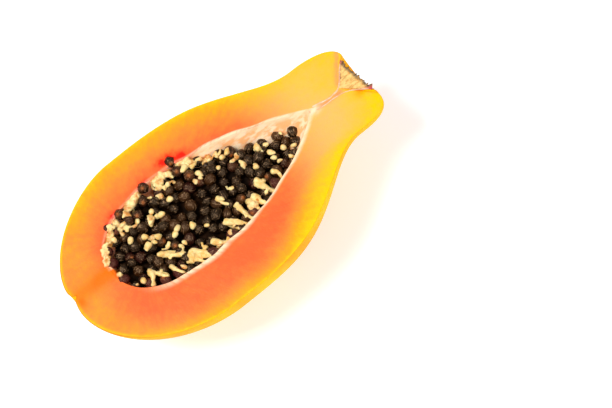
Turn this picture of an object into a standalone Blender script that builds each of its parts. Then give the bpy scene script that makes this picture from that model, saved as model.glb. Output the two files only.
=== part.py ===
"""A ripe papaya half, cut lengthwise, lying on its back with the cut face up.

Metres, +Z up. The fruit is modelled whole in its own frame: X runs from the blossom tip (0) to the
stem end, Y runs across, and the knife's plane is Z = 0. Cutters then halve it, hollow out the seed
cavity and open the socket of the dried stem end. An empty sets the half down on Z = 0, centred.
"""

import math
from dataclasses import dataclass

import bmesh
import bpy

# ---- driving dimensions -------------------------------------------------------------------------

LENGTH = 0.185  # blossom tip to the middle of the stem scar
GAP = 0.0003  # between neighbouring solids
FLAT_HEIGHT = 0.0004  # how much the small resting flat takes off the round back
BLOSSOM_END = -0.008  # the furthest ring of the blunt blossom end; its tip at 0 is dimpled, in lengths
RIDGE_COUNT = 5  # the fruit's faint lengthwise ridges
RIDGE_HEIGHT = 0.011  # of the radius

SCAR_RADIUS = 0.066  # in lengths
SCAR_APEX = 0.940  # where the scar's fibres run out in the flesh, in lengths
SCAR_FACE = 1.000  # its dry outer face on the fruit's axis, in lengths
SCAR_SLANT = 0.17  # how much further out that face lies for each length towards the right side
SCAR_POINT = 0.0006  # radius at the apex
SOCKET_RUN = 0.02  # how far the socket's cutter runs on past the scar

HEAP_INSET = 0.0005  # the seed heap's set-in from the cavity's wall: the gap, and room for facets
HEAP_TOP = -0.0006  # mean level of the seeds against the cut plane
HEAP_BUMP = 0.0016  # how far single groups of seeds stand up or sink
HEAP_PITCH = 0.0125  # distance between two groups of seeds
HEAP_RIM = 0.004  # depth over which the level runs out to the cavity's edge
HEAP_TIP = 0.765  # where the seeds end and the bare tip of the cavity starts, in lengths
HEAP_SINKS_AT = 0.60  # where the heap begins to sink towards that tip, in lengths
HEAP_SINK = 0.004  # how far it sinks there
HEAP_SINK_SHARE = 0.4  # and at most this share of the depth below it
END_ROUNDING = 6  # power of the heap's rounded end


@dataclass(frozen=True)
class Side:
    """One outline of the fruit, from its axis outwards. Sizes are in lengths."""

    dimple: float  # half width of the blossom end's dimple
    belly_at: float  # where it is widest
    belly: float  # how wide it is there
    blunt: float  # superellipse power of the blossom end
    waist_at: float  # where the neck is narrowest
    waist: float  # how wide it is there
    slide: float  # over 1 keeps the belly full for longer
    neck_at: float  # where the neck begins to round over
    crest_at: float  # the crest round the stem scar
    crest: float  # how far out that crest lies
    corner: float  # superellipse power of the neck's rounding


@dataclass(frozen=True)
class Hollow:
    """One outline of the seed cavity. Sizes are in lengths."""

    start: float
    belly_at: float
    belly: float
    blunt: float
    tip: float
    taper: float  # power of the run down to the tip


LEFT = Side(0.027, 0.29, 0.263, 1.72, 0.87, 0.132, 1.75, 0.870, 1.008, 0.070, 2.2)
RIGHT = Side(0.050, 0.35, 0.313, 1.85, 0.91, 0.140, 1.85, 0.925, 1.018, 0.090, 2.8)
UNDER = Side(0.040, 0.41, 0.290, 2.00, 0.91, 0.134, 1.60, 0.910, 1.008, 0.080, 2.4)

HOLLOW_LEFT = Hollow(0.129, 0.38, 0.141, 2.3, 0.845, 1.75)
HOLLOW_RIGHT = Hollow(0.129, 0.37, 0.156, 2.4, 0.845, 2.4)
HOLLOW_UNDER = Hollow(0.135, 0.39, 0.158, 2.2, 0.845, 1.6)

# Shares of the rings, from pole to pole, that each stretch of an outline takes.
DIMPLE_SHARE = 0.06  # ends at the dimple's lip
BLOSSOM_SHARE = 0.30  # ends at the belly
SLOPE_SHARE = 0.75  # ends at the neck
CROWN_SHARE = 0.90  # ends at the crest round the scar
HOLLOW_BLUNT_SHARE = 0.40  # the cavity's blunt end

FRUIT_RINGS, FRUIT_SEGMENTS = 54, 56
HOLLOW_RINGS, HOLLOW_SEGMENTS = 36, 40
HEAP_RINGS, HEAP_SEGMENTS = 40, 40
SCAR_SEGMENTS = 32


# ---- profiles -----------------------------------------------------------------------------------


def superellipse_quarter(turn, power):
    """(share along, share across) of a rounded quarter as turn runs from 0 to 1."""
    angle = turn * math.pi / 2
    return 1 - max(math.cos(angle), 0.0) ** (2 / power), math.sin(angle) ** (2 / power)


def slope_radius(side, x):
    """Radius between the belly and the neck: a cosine ease, bent by the slide power."""
    t = min((x - side.belly_at) / (side.waist_at - side.belly_at), 1.0) ** side.slide
    return side.waist + (side.belly - side.waist) * (1 + math.cos(math.pi * t)) / 2


def side_point(side, share):
    """(x, radius) on one outline, in lengths, as share runs from the blossom tip to the scar."""
    if share <= DIMPLE_SHARE:
        t = share / DIMPLE_SHARE
        return BLOSSOM_END * math.sin(t * math.pi / 2), side.dimple * t
    if share <= BLOSSOM_SHARE:
        turn = (share - DIMPLE_SHARE) / (BLOSSOM_SHARE - DIMPLE_SHARE)
        along, across = superellipse_quarter(turn, side.blunt)
        x = BLOSSOM_END + (side.belly_at - BLOSSOM_END) * along
        return x, side.dimple + (side.belly - side.dimple) * across
    if share <= SLOPE_SHARE:
        t = (share - BLOSSOM_SHARE) / (SLOPE_SHARE - BLOSSOM_SHARE)
        x = side.belly_at + (side.neck_at - side.belly_at) * t
        return x, slope_radius(side, x)
    if share <= CROWN_SHARE:
        turn = (share - SLOPE_SHARE) / (CROWN_SHARE - SLOPE_SHARE)
        inwards, outwards = superellipse_quarter(turn, side.corner)
        neck = slope_radius(side, side.neck_at)
        x = side.neck_at + (side.crest_at - side.neck_at) * outwards
        return x, neck - (neck - side.crest) * inwards
    t = (share - CROWN_SHARE) / (1 - CROWN_SHARE)
    x = side.crest_at - (side.crest_at - SCAR_FACE) * math.sin(t * math.pi / 2) ** 2
    return x, side.crest * (1 - t)


def hollow_point(hollow, share, inset=0.0, end=None):
    """(x, radius) on one outline of the cavity, in lengths, set in all round and rounded off at end."""
    if share <= HOLLOW_BLUNT_SHARE:
        along, across = superellipse_quarter(share / HOLLOW_BLUNT_SHARE, hollow.blunt)
        start = hollow.start + inset
        return start + (hollow.belly_at - start) * along, (hollow.belly - inset) * across
    turn = (share - HOLLOW_BLUNT_SHARE) / (1 - HOLLOW_BLUNT_SHARE)
    x = hollow.belly_at + ((end or hollow.tip) - hollow.belly_at) * turn
    t = (x - hollow.belly_at) / (hollow.tip - hollow.belly_at)
    radius = hollow.belly * (1 - t**hollow.taper) - inset
    return x, radius * math.sqrt(max(0.0, 1 - turn**END_ROUNDING)) if end else radius


def section_point(left, right, under, angle):
    """The point at angle round a section joining three outlines: an ellipse about its own middle."""
    middle, half = (left[1] - right[1]) / 2, (left[1] + right[1]) / 2
    side_x = (left[0] + right[0]) / 2 + (left[0] - right[0]) / 2 * math.cos(angle)
    x = under[0] + (side_x - under[0]) * math.cos(angle) ** 2
    y = middle + half * math.cos(angle)
    return x * LENGTH, y * LENGTH, under[1] * math.sin(angle) * LENGTH


def fruit_skin(share, angle):
    """A point of the whole fruit's skin. Its ridges fade out towards both ends and the knife."""
    x, y, z = section_point(*[side_point(side, share) for side in (LEFT, RIGHT, UNDER)], angle)
    fade = math.sin(math.pi * share) ** 2 * math.sin(angle) ** 2
    swell = 1 + RIDGE_HEIGHT * math.cos(RIDGE_COUNT * (angle + math.pi / 2)) * fade
    return x, y * swell, z * swell


def flat_level():
    """Height of the small resting flat: just above the lowest point of the round back."""
    steps = 4 * FRUIT_RINGS
    lowest = min(fruit_skin(step / steps, -math.pi / 2)[2] for step in range(steps + 1))
    return lowest + FLAT_HEIGHT


def cavity_wall(share, angle):
    """A point of the seed cavity's wall."""
    hollows = (HOLLOW_LEFT, HOLLOW_RIGHT, HOLLOW_UNDER)
    return section_point(*[hollow_point(hollow, share) for hollow in hollows], angle)


def heap_level(x, y):
    """Height of the uneven seed heap: groups of seeds, sinking towards the cavity's bare tip."""
    turns = 2 * math.pi / HEAP_PITCH
    bump = math.sin(turns * x) * math.sin(turns * y + 1.3 * math.sin(turns * x / 2.6))
    near_tip = max(0.0, x / LENGTH - HEAP_SINKS_AT) / (HEAP_TIP - HEAP_SINKS_AT)
    return HEAP_TOP + HEAP_BUMP * bump - HEAP_SINK * near_tip**2


def heap_skin(share, angle):
    """A point of the seed heap: the cavity's wall less the gap below, the uneven level on top."""
    hollows = (HOLLOW_LEFT, HOLLOW_RIGHT, HOLLOW_UNDER)
    inset = HEAP_INSET / LENGTH
    outlines = [hollow_point(hollow, share, inset, HEAP_TIP) for hollow in hollows]
    x, y, z = section_point(*outlines, angle)
    if z <= 0:
        return x, y, z
    rim = min(1.0, z / HEAP_RIM)
    return x, y, max(heap_level(x, y) * rim, -HEAP_SINK_SHARE * z)


# ---- Blender helpers ----------------------------------------------------------------------------


def collection(name):
    made = bpy.data.collections.new(name)
    bpy.context.scene.collection.children.link(made)
    return made


def material(name, colour, roughness):
    """A Principled material of one colour."""
    made = bpy.data.materials.new(name)
    made.use_nodes = True
    shader = made.node_tree.nodes["Principled BSDF"]
    shader.inputs["Base Color"].default_value = (*colour, 1)
    shader.inputs["Roughness"].default_value = roughness
    shader.inputs["Metallic"].default_value = 0
    return made


def new_object(name, bm, home):
    """An object of the bmesh, with its faces turned outwards."""
    bmesh.ops.recalc_face_normals(bm, faces=bm.faces)
    if bm.calc_volume(signed=True) < 0:
        bmesh.ops.reverse_faces(bm, faces=bm.faces)
    mesh = bpy.data.meshes.new(name)
    bm.to_mesh(mesh)
    bm.free()
    made = bpy.data.objects.new(name, mesh)
    home.objects.link(made)
    return made


def moulded_sphere(name, rings, segments, place, home):
    """A UV sphere whose points move to place(share from pole to pole, angle round the axis)."""
    bm = bmesh.new()
    bmesh.ops.create_uvsphere(bm, u_segments=segments, v_segments=rings, radius=1)
    for vert in bm.verts:
        share = math.acos(max(-1.0, min(1.0, -vert.co.z))) / math.pi
        vert.co = place(share, math.atan2(vert.co.y, vert.co.x))
    return new_object(name, bm, home)


def scar_cone(name, grow, run, home):
    """A cone along X from the scar's apex to its slanted face, grown outwards and run on past it."""
    apex, face = SCAR_APEX * LENGTH - 2 * grow, SCAR_FACE * LENGTH
    bm = bmesh.new()
    bmesh.ops.create_cone(
        bm,
        cap_ends=True,
        segments=SCAR_SEGMENTS,
        radius1=SCAR_POINT + grow,
        radius2=SCAR_RADIUS * LENGTH + grow,
        depth=face - apex,
    )
    for vert in bm.verts:
        x = face - SCAR_SLANT * vert.co.x if vert.co.z > 0 else apex
        vert.co = (x, vert.co.x, vert.co.y)
    if run:
        base = max(bm.faces, key=lambda found: found.calc_center_median().x)
        grown = bmesh.ops.extrude_face_region(bm, geom=[base])["geom"]
        moved = [item for item in grown if isinstance(item, bmesh.types.BMVert)]
        bmesh.ops.translate(bm, verts=moved, vec=(run, 0, 0))
        bmesh.ops.delete(bm, geom=[base], context="FACES_ONLY")
    return new_object(name, bm, home)


def block(name, low, high, home):
    """A box between two corners."""
    bm = bmesh.new()
    bmesh.ops.create_cube(bm, size=1)
    for vert in bm.verts:
        vert.co = [low[i] + (high[i] - low[i]) * (vert.co[i] + 0.5) for i in range(3)]
    return new_object(name, bm, home)


def cut(target, *cutters):
    """Takes each cutter off the target with a live Boolean, and hides the cutter."""
    for tool in cutters:
        tool.hide_render = True
        tool.display_type = "WIRE"
        step = target.modifiers.new(tool.name, "BOOLEAN")
        step.operation = "DIFFERENCE"
        step.object = tool


# ---- the pieces ---------------------------------------------------------------------------------


def make_flesh(body, knives, knife):
    """The fruit's wall with its skin: halved, hollowed, with a flat to rest on and the scar's socket."""
    made = moulded_sphere("flesh", FRUIT_RINGS, FRUIT_SEGMENTS, fruit_skin, body)
    made.data.materials.append(material("flesh", (0.93, 0.33, 0.07), 0.4))
    far = LENGTH * 1.2
    rest = block("rest_cut", (-far, -far, -far), (far, far, flat_level()), knives)
    cavity = moulded_sphere("cavity", HOLLOW_RINGS, HOLLOW_SEGMENTS, cavity_wall, knives)
    socket = scar_cone("socket", GAP, SOCKET_RUN, knives)
    cut(made, knife, rest, cavity, socket)
    return made


def make_stem_scar(body, knife):
    """The dried end of the stem: a fibrous half cone set in the neck."""
    made = scar_cone("stem_scar", 0, 0, body)
    made.data.materials.append(material("stem_scar", (0.30, 0.19, 0.08), 0.8))
    cut(made, knife)
    return made


def make_seed_heap(body):
    """The heap of seeds, one solid out to its uneven outline."""
    made = moulded_sphere("seed_heap", HEAP_RINGS, HEAP_SEGMENTS, heap_skin, body)
    made.data.materials.append(material("seed_heap", (0.03, 0.02, 0.015), 0.3))
    return made


def main():
    for old in list(bpy.data.objects):
        bpy.data.objects.remove(old)
    body, knives = collection("papaya_half"), collection("cutters")
    far = LENGTH * 1.2
    knife = block("knife", (-far, -far, 0), (far, far, far), knives)
    pieces = [make_flesh(body, knives, knife), make_stem_scar(body, knife), make_seed_heap(body)]

    stand = bpy.data.objects.new("stand", None)
    body.objects.link(stand)
    middle_x = (BLOSSOM_END + RIGHT.crest_at) / 2 * LENGTH
    middle_y = (LEFT.belly - RIGHT.belly) / 2 * LENGTH
    stand.location = (-middle_x, -middle_y, -flat_level())
    for made in [*pieces, *knives.objects]:
        made.parent = stand
    for made in pieces:
        made.data.shade_smooth()


main()
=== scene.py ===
"""The looks of a ripe papaya half with its cut face up.

Flesh and skin are one closed surface. Over a dark core in the hollow lie the real seeds, the undeveloped
ones, the pulp strands and the woolly pulp on the wall. The dried stem end sits in the neck.
"""

import math
from dataclasses import dataclass

import bpy
import numpy as np
from bpy.props import FloatProperty, FloatVectorProperty, IntProperty, PointerProperty
from mathutils import Matrix, Vector


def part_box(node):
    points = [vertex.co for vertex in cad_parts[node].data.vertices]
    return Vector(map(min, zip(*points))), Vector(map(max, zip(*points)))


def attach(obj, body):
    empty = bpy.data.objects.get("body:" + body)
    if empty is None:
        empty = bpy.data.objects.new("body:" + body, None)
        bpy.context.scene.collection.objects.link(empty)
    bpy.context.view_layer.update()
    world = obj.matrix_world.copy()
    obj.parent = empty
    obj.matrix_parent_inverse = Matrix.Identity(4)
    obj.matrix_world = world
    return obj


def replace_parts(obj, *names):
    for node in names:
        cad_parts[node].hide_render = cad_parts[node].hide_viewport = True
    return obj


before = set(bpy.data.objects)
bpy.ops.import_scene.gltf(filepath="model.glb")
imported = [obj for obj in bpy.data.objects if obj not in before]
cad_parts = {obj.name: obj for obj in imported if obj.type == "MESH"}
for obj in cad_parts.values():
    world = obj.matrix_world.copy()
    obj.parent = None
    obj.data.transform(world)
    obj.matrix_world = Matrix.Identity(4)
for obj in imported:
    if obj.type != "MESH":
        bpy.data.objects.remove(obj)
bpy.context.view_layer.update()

bl_info = {
    "name": "Papaya Half",
    "version": (1, 0, 0),
    "blender": (4, 5, 0),
    "location": "3D View > Sidebar > Papaya",
    "description": "Makes a ripe papaya half with its seeds and pulp, a floor, lights and a camera",
    "category": "Add Mesh",
}


# ---- the fruit's outlines, in lengths from the blossom tip to the stem scar ---------------------


@dataclass(frozen=True)
class Side:
    """One outline of the fruit, from its axis outwards."""

    dimple: float  # half width of the blossom end's dimple
    belly_at: float
    belly: float
    blunt: float  # superellipse power of the blossom end
    waist_at: float
    waist: float
    slide: float  # over 1 keeps the belly full for longer
    neck_at: float  # where the neck begins to round over
    crest_at: float
    crest: float
    corner: float  # superellipse power of the neck's rounding


@dataclass(frozen=True)
class Hollow:
    """One outline of the seed cavity."""

    start: float
    belly_at: float
    belly: float
    blunt: float
    tip: float
    taper: float  # power of the run down to the tip


LEFT = Side(0.027, 0.29, 0.263, 1.72, 0.87, 0.132, 1.75, 0.870, 1.008, 0.070, 2.2)
RIGHT = Side(0.050, 0.35, 0.313, 1.85, 0.91, 0.140, 1.85, 0.925, 1.018, 0.090, 2.8)
UNDER = Side(0.040, 0.41, 0.290, 2.00, 0.91, 0.134, 1.60, 0.910, 1.008, 0.080, 2.4)

HOLLOW_LEFT = Hollow(0.129, 0.38, 0.141, 2.3, 0.845, 1.75)
HOLLOW_RIGHT = Hollow(0.129, 0.37, 0.156, 2.4, 0.845, 2.4)
HOLLOW_UNDER = Hollow(0.135, 0.39, 0.158, 2.2, 0.845, 1.6)

BLOSSOM_END = -0.008
SCAR_FACE = 1.0
DIMPLE_SHARE, BLOSSOM_SHARE, SLOPE_SHARE, CROWN_SHARE = 0.06, 0.30, 0.75, 0.90
HOLLOW_BLUNT_SHARE = 0.40
RIDGE_COUNT, RIDGE_HEIGHT = 5, 0.011
CLEFT_DEPTH, CLEFT_WIDTH = 0.008, 0.006  # the narrow cleft in the middle of the dimple

FLESH_LOW, FLESH_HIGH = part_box("flesh")
LENGTH = (FLESH_HIGH.x - FLESH_LOW.x) / (RIGHT.crest_at - BLOSSOM_END)
TIP = np.array([
    FLESH_LOW.x - BLOSSOM_END * LENGTH,
    (FLESH_LOW.y + FLESH_HIGH.y) / 2 + (RIGHT.belly - LEFT.belly) / 2 * LENGTH,
    FLESH_HIGH.z,
])  # the blossom tip, on the cut's plane


def srgb(red, green, blue):
    """A screen colour of 0 to 255 as the linear one that the shaders take."""
    shares = (c / 255 for c in (red, green, blue))
    return tuple(c / 12.92 if c <= 0.04045 else ((c + 0.055) / 1.055) ** 2.4 for c in shares)


# ---- sizes and colours that a user would change -------------------------------------------------


def length_prop(name, default, description):
    """A length in metres."""
    return FloatProperty(
        name=name, description=description, default=default, min=0, unit="LENGTH", precision=5
    )


def count_prop(name, default, description):
    """How many there are of something."""
    return IntProperty(name=name, description=description, default=default, min=0)


def colour_prop(name, default, description):
    """A colour, its default given as on a screen."""
    return FloatVectorProperty(
        name=name, description=description, default=srgb(*default), size=3, min=0, max=1, subtype="COLOR"
    )


class PapayaSizes(bpy.types.PropertyGroup):
    """Sizes of the small things, and how many lie loose."""

    seed: length_prop("Seed", 0.0065, "Diameter of a ripe seed in its skin")
    seed_level: length_prop("Seed level", 0.0004, "How far the seeds' tops stand over the cut face")
    core_depth: length_prop("Core depth", 0.0085, "Depth of the heap's solid core under the seeds' tops")
    ovule: length_prop("Undeveloped seed", 0.0032, "Thickness of a pale undeveloped seed")
    strand: length_prop("Pulp strand", 0.0104, "Length of a pulp strand")
    strand_radius: length_prop("Strand radius", 0.0017, "Radius of a pulp strand near its free end")
    lump: length_prop("Pulp lump", 0.0014, "Radius of one lump of the woolly pulp")
    lip: length_prop("Lip", 0.0004, "Rounding of the cut's two edges")
    unevenness: length_prop("Unevenness", 0.00012, "Height of the waves that the knife leaves in the cut")
    ovules: count_prop("Loose undeveloped seeds", 9, "How many more lie on the heap")
    strands: count_prop("Loose strands", 9, "How many thin strands lie over the heap")


class PapayaColours(bpy.types.PropertyGroup):
    """Colours of the flesh, the skin, the seeds, the pulp and the stem end."""

    gold: colour_prop("Gold", (254, 198, 0), "Flesh just under the skin")
    amber: colour_prop("Amber", (254, 161, 22), "Outer flesh")
    apricot: colour_prop("Apricot", (253, 134, 48), "Middle of the flesh")
    coral: colour_prop("Coral", (253, 111, 50), "Inner flesh")
    deep_coral: colour_prop("Deep coral", (252, 99, 48), "Ripest flesh round the cavity")
    pale_gold: colour_prop("Pale gold", (254, 188, 50), "Flesh of the neck")
    pale_apricot: colour_prop("Pale apricot", (255, 182, 104), "Inner flesh of the neck")
    streak: colour_prop("Streak", (253, 110, 0), "Streak from the blossom tip to the cavity")
    stain: colour_prop("Stain", (255, 28, 4), "Red stain round the seeds on the cut")
    lining: colour_prop("Lining", (255, 222, 184), "Pale skin that lines the cavity")
    # Partly painted shade: this deeper colour shows lower down the wall, below the pale lining at its top
    wall: colour_prop("Wall", (252, 182, 122), "Bare wall of the cavity")
    skin: colour_prop("Skin", (255, 186, 8), "Ripe skin")
    skin_deep: colour_prop("Deep skin", (255, 158, 6), "Riper patches of the skin")
    # Also paints the darker line on the blossom end's outer lip: partly the skin's own edge, partly painted
    # shade
    fleck_and_rim_shade: colour_prop("Fleck", (214, 116, 14), "Fine flecks of the skin")
    seed: colour_prop("Seed", (20, 9, 3), "Ripe seed")
    seed_brown: colour_prop("Brown seed", (76, 42, 16), "Lighter seed")
    # Painted highlight: this light colour along the seeds' wrinkles stands in for glints on the wet skin
    seed_painted_highlight: colour_prop("Seed painted highlight", (138, 108, 78), "Wrinkles of the wet skin that catch the light")
    seed_wine: colour_prop("Wine seed", (74, 20, 24), "Seed seen through wet pulp")
    seed_dot: colour_prop("Seed dot", (176, 92, 34), "Where a seed was joined")
    ovule: colour_prop("Undeveloped seed", (248, 219, 152), "Pale undeveloped seed")
    strand: colour_prop("Strand", (234, 186, 104), "Pulp strand")
    pulp: colour_prop("Pulp", (206, 134, 58), "Woolly pulp")
    fibre: colour_prop("Fibre", (254, 184, 136), "Fibres of the neck")
    blushed: colour_prop("Blushed neck", (253, 150, 92), "Flesh between the fibres and beside the scar")
    scar: colour_prop("Scar", (244, 204, 126), "Dry fibres of the stem scar")
    scar_dark: colour_prop("Dark scar", (214, 160, 84), "Shadowed fibres of the stem scar")
    cork: colour_prop("Cork", (104, 84, 66), "Corky outer edge of the stem scar")
    blush: colour_prop("Blush", (214, 64, 84), "Pink juice at the scar's corners")
    floor: colour_prop("Floor", (255, 255, 255), "Floor")


# ---- arrays -------------------------------------------------------------------------------------


def smooth(value, low, high):
    """A smooth step from 0 at low to 1 at high: three squares less two cubes of the share between."""
    share = np.clip((value - low) / (high - low), 0, 1)
    return share * share * (3 - 2 * share)


def near(value, middle, width):
    """A bell: 1 at the middle, falling off as the exponential of minus the squared distance."""
    return np.exp(-(((value - middle) / width) ** 2))


def waves(points, size, seed, count=9):
    """A random field of about -1 to 1: the sum of sine waves of about one length in random directions."""
    rng = np.random.default_rng(seed)
    axes = rng.normal(size=(points.shape[-1], count))
    axes /= np.linalg.norm(axes, axis=0)
    turns = 2 * math.pi / (size * rng.uniform(0.7, 1.4, count))
    return np.sin(points @ (axes * turns) + rng.uniform(0, 2 * math.pi, count)).sum(-1) / math.sqrt(count)


def quarter(turn, power):
    """(along, across) of a superellipse quarter: one less the cosine, and the sine, each to 2 / power."""
    angle = np.clip(turn, 0, 1) * math.pi / 2
    return 1 - np.maximum(np.cos(angle), 0) ** (2 / power), np.sin(angle) ** (2 / power)


def outline(side, share):
    """(x, radius) of one outline, in metres, as share runs from the blossom tip to the scar's middle.

    The radius grows evenly over the dimple, which a bell deepens to a cleft. Then a superellipse quarter
    leads to the belly, a cosine ease to the neck, another superellipse quarter over the crest, and a squared
    sine back to the scar's face.
    """

    def slope(x):
        turn = np.clip((x - side.belly_at) / (side.waist_at - side.belly_at), 0, 1) ** side.slide
        return side.waist + (side.belly - side.waist) * (1 + np.cos(math.pi * turn)) / 2

    dimple = share / DIMPLE_SHARE
    along, across = quarter((share - DIMPLE_SHARE) / (BLOSSOM_SHARE - DIMPLE_SHARE), side.blunt)
    sliding = np.clip((share - BLOSSOM_SHARE) / (SLOPE_SHARE - BLOSSOM_SHARE), 0, 1)
    slope_x = side.belly_at + (side.neck_at - side.belly_at) * sliding
    inwards, outwards = quarter((share - SLOPE_SHARE) / (CROWN_SHARE - SLOPE_SHARE), side.corner)
    neck = slope(side.neck_at)
    back = np.clip((share - CROWN_SHARE) / (1 - CROWN_SHARE), 0, 1)
    where = [share <= DIMPLE_SHARE, share <= BLOSSOM_SHARE, share <= SLOPE_SHARE, share <= CROWN_SHARE]
    x = np.select(where, [
        BLOSSOM_END * np.sin(dimple * math.pi / 2),
        BLOSSOM_END + (side.belly_at - BLOSSOM_END) * along,
        slope_x,
        side.neck_at + (side.crest_at - side.neck_at) * outwards,
    ], side.crest_at - (side.crest_at - SCAR_FACE) * np.sin(back * math.pi / 2) ** 2)
    radius = np.select(where, [
        side.dimple * dimple,
        side.dimple + (side.belly - side.dimple) * across,
        slope(slope_x),
        neck - (neck - side.crest) * inwards,
    ], side.crest * (1 - back))
    x = x + CLEFT_DEPTH * near(radius, 0, CLEFT_WIDTH) * (share < DIMPLE_SHARE)
    return x * LENGTH, radius * LENGTH


def hollow_outline(hollow, share):
    """(x, radius) of the cavity's outline, in metres: a superellipse quarter, then a power's fall."""
    along, across = quarter(share / HOLLOW_BLUNT_SHARE, hollow.blunt)
    turn = np.clip((share - HOLLOW_BLUNT_SHARE) / (1 - HOLLOW_BLUNT_SHARE), 0, 1)
    blunt = share <= HOLLOW_BLUNT_SHARE
    x = np.where(
        blunt,
        hollow.start + (hollow.belly_at - hollow.start) * along,
        hollow.belly_at + (hollow.tip - hollow.belly_at) * turn,
    )
    radius = hollow.belly * np.where(blunt, across, 1 - turn**hollow.taper)
    return x * LENGTH, radius * LENGTH


def hollow_radius(hollow, x):
    """The cavity's radius at x, in metres: the same outline, solved for x."""
    along = x / LENGTH
    before = np.clip((hollow.belly_at - along) / (hollow.belly_at - hollow.start), 0, 1)
    after = np.clip((along - hollow.belly_at) / (hollow.tip - hollow.belly_at), 0, 1)
    blunt = (1 - before**hollow.blunt) ** (1 / hollow.blunt)
    return hollow.belly * np.where(along < hollow.belly_at, blunt, 1 - after**hollow.taper) * LENGTH


LEFT_WALL_POWER, BARE_WALL_POWER, RIGHT_WALL_POWER = 1.35, 1.08, 2.0  # from sloping to steep


def cavity_floor(x, y):
    """Height of the cavity's wall under the cut: the depth on its axis times a superellipse across it."""
    left = y > 0
    half = np.where(left, hollow_radius(HOLLOW_LEFT, x), hollow_radius(HOLLOW_RIGHT, x))
    bare = smooth(x / LENGTH, 0.42, 0.56)
    power = np.where(left, LEFT_WALL_POWER + (BARE_WALL_POWER - LEFT_WALL_POWER) * bare, RIGHT_WALL_POWER)
    out = np.clip(np.abs(y) / np.maximum(half, 1e-6), 0, 1)
    return -hollow_radius(HOLLOW_UNDER, x) * np.maximum(1 - out**power, 0) ** (1 / power)


HILLS = 0.0005  # height of the heap's soft hills, in metres
WALL_DROP, TIP_DROP = 0.0048, 0.0046  # how far the heap sinks by the bare wall and at its tip, in metres


def seed_level(x, y, sizes):
    """Height of the seeds' tops: low waves that sink by smooth steps along the bare wall and to the tip."""
    along = x / LENGTH
    out = y / np.maximum(hollow_radius(HOLLOW_LEFT, x), 1e-6)
    beside_wall = smooth(along, 0.46, 0.62) * smooth(out, 0.15, 0.9)
    hills = HILLS * waves(np.stack([x, y], -1), 0.022, 5)
    return sizes.seed_level + hills - WALL_DROP * beside_wall - TIP_DROP * smooth(along, 0.62, 0.77)


# ---- meshes -------------------------------------------------------------------------------------


def quads_of(index):
    """The quads between neighbours in a two-way array of point numbers."""
    return np.stack([index[:-1, :-1], index[1:, :-1], index[1:, 1:], index[:-1, 1:]], -1).reshape(-1, 4)


def fan_of(pole, ring):
    """The triangles from a pole to a closed ring of point numbers."""
    return np.stack([np.full(len(ring), pole), ring, np.roll(ring, -1)], -1)


def ringed(rows, columns):
    """(quads, triangles) of closed rings of points, one after another, between a first and a last pole."""
    index = 1 + np.arange(rows * columns).reshape(rows, columns)
    quads = quads_of(np.concatenate([index, index[:, :1]], 1))
    return quads, np.concatenate([fan_of(0, index[0]), fan_of(rows * columns + 1, index[-1][::-1])])


def volume_of(points, quads, triangles):
    """Signed volume: a sixth of the sum of the triple products of the faces' corners."""
    faces = np.concatenate([quads[:, [0, 1, 2]], quads[:, [0, 2, 3]], triangles])
    a, b, c = (points[faces[:, i]] for i in range(3))
    return (a * np.cross(b, c)).sum() / 6


def new_object(name, data):
    """An object of this data, in the scene."""
    made = bpy.data.objects.new(name, data)
    bpy.context.scene.collection.objects.link(made)
    return made


def new_piece(name, body, material, node_slot, **values):
    """A closed mesh object of a body's (points, quads, triangles), facing outwards.

    The points are measured from the blossom tip. The values are kept as point attributes.
    """
    points, quads, triangles = body
    if volume_of(points - points.mean(0), quads, triangles) < 0:
        quads, triangles = quads[:, ::-1], triangles[:, ::-1]
    mesh = bpy.data.meshes.new(name)
    mesh.from_pydata((points + TIP).tolist(), [], quads.tolist() + triangles.tolist())
    for key, value in values.items():
        kind, field = ("FLOAT_VECTOR", "vector") if value.ndim == 2 else ("FLOAT", "value")
        mesh.attributes.new(key, kind, "POINT").data.foreach_set(field, value.astype(np.float32).ravel())
    mesh.validate()
    mesh.shade_smooth()
    mesh.materials.append(material)
    made = new_object(name, mesh)
    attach(made, "root")
    return made


PULP_VOXEL = 0.0004  # the finest detail of the pulp, in metres


def melt(piece):
    """Lumps that touch grow together into one skin."""
    merged = piece.modifiers.new("melt", "REMESH")
    merged.mode = "VOXEL"
    merged.voxel_size = PULP_VOXEL
    merged.use_smooth_shade = True
    softened = piece.modifiers.new("soften", "SMOOTH")
    softened.factor = 0.5
    softened.iterations = 2


def globe(segments, rings):
    """(points, quads, triangles) of a unit sphere: poles on Z, rings at even angles between them."""
    down = np.arange(1, rings) * math.pi / rings
    round_ = np.arange(segments) * 2 * math.pi / segments
    ring = np.stack([
        np.outer(np.sin(down), np.cos(round_)),
        np.outer(np.sin(down), np.sin(round_)),
        np.outer(np.cos(down), np.ones(segments)),
    ], -1).reshape(-1, 3)
    points = np.concatenate([[[0, 0, 1]], ring, [[0, 0, -1]]])
    return points, *ringed(rings - 1, segments)


def turns_of(rng, count):
    """Random rotation matrices, from normal quaternions."""
    four = rng.normal(size=(4, count))
    w, x, y, z = four / np.linalg.norm(four, axis=0)
    return np.stack([
        1 - 2 * (y * y + z * z), 2 * (x * y - w * z), 2 * (x * z + w * y),
        2 * (x * y + w * z), 1 - 2 * (x * x + z * z), 2 * (y * z - w * x),
        2 * (x * z - w * y), 2 * (y * z + w * x), 1 - 2 * (x * x + y * y),
    ], -1).reshape(-1, 3, 3)


def turns_to(directions, rng):
    """Rotation matrices that take Z to each direction, with a random turn about it."""
    z = directions / np.linalg.norm(directions, axis=1, keepdims=True)
    side = np.cross(z, rng.normal(size=z.shape))
    side /= np.linalg.norm(side, axis=1, keepdims=True)
    return np.stack([side, np.cross(z, side), z], -1)


def repeated(points, quads, triangles):
    """(points, quads, triangles) of many bodies of one kind, from one array with the points of each."""
    first = (np.arange(len(points)) * points.shape[1])[:, None, None]
    return points.reshape(-1, 3), (quads + first).reshape(-1, 4), (triangles + first).reshape(-1, 3)


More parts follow.
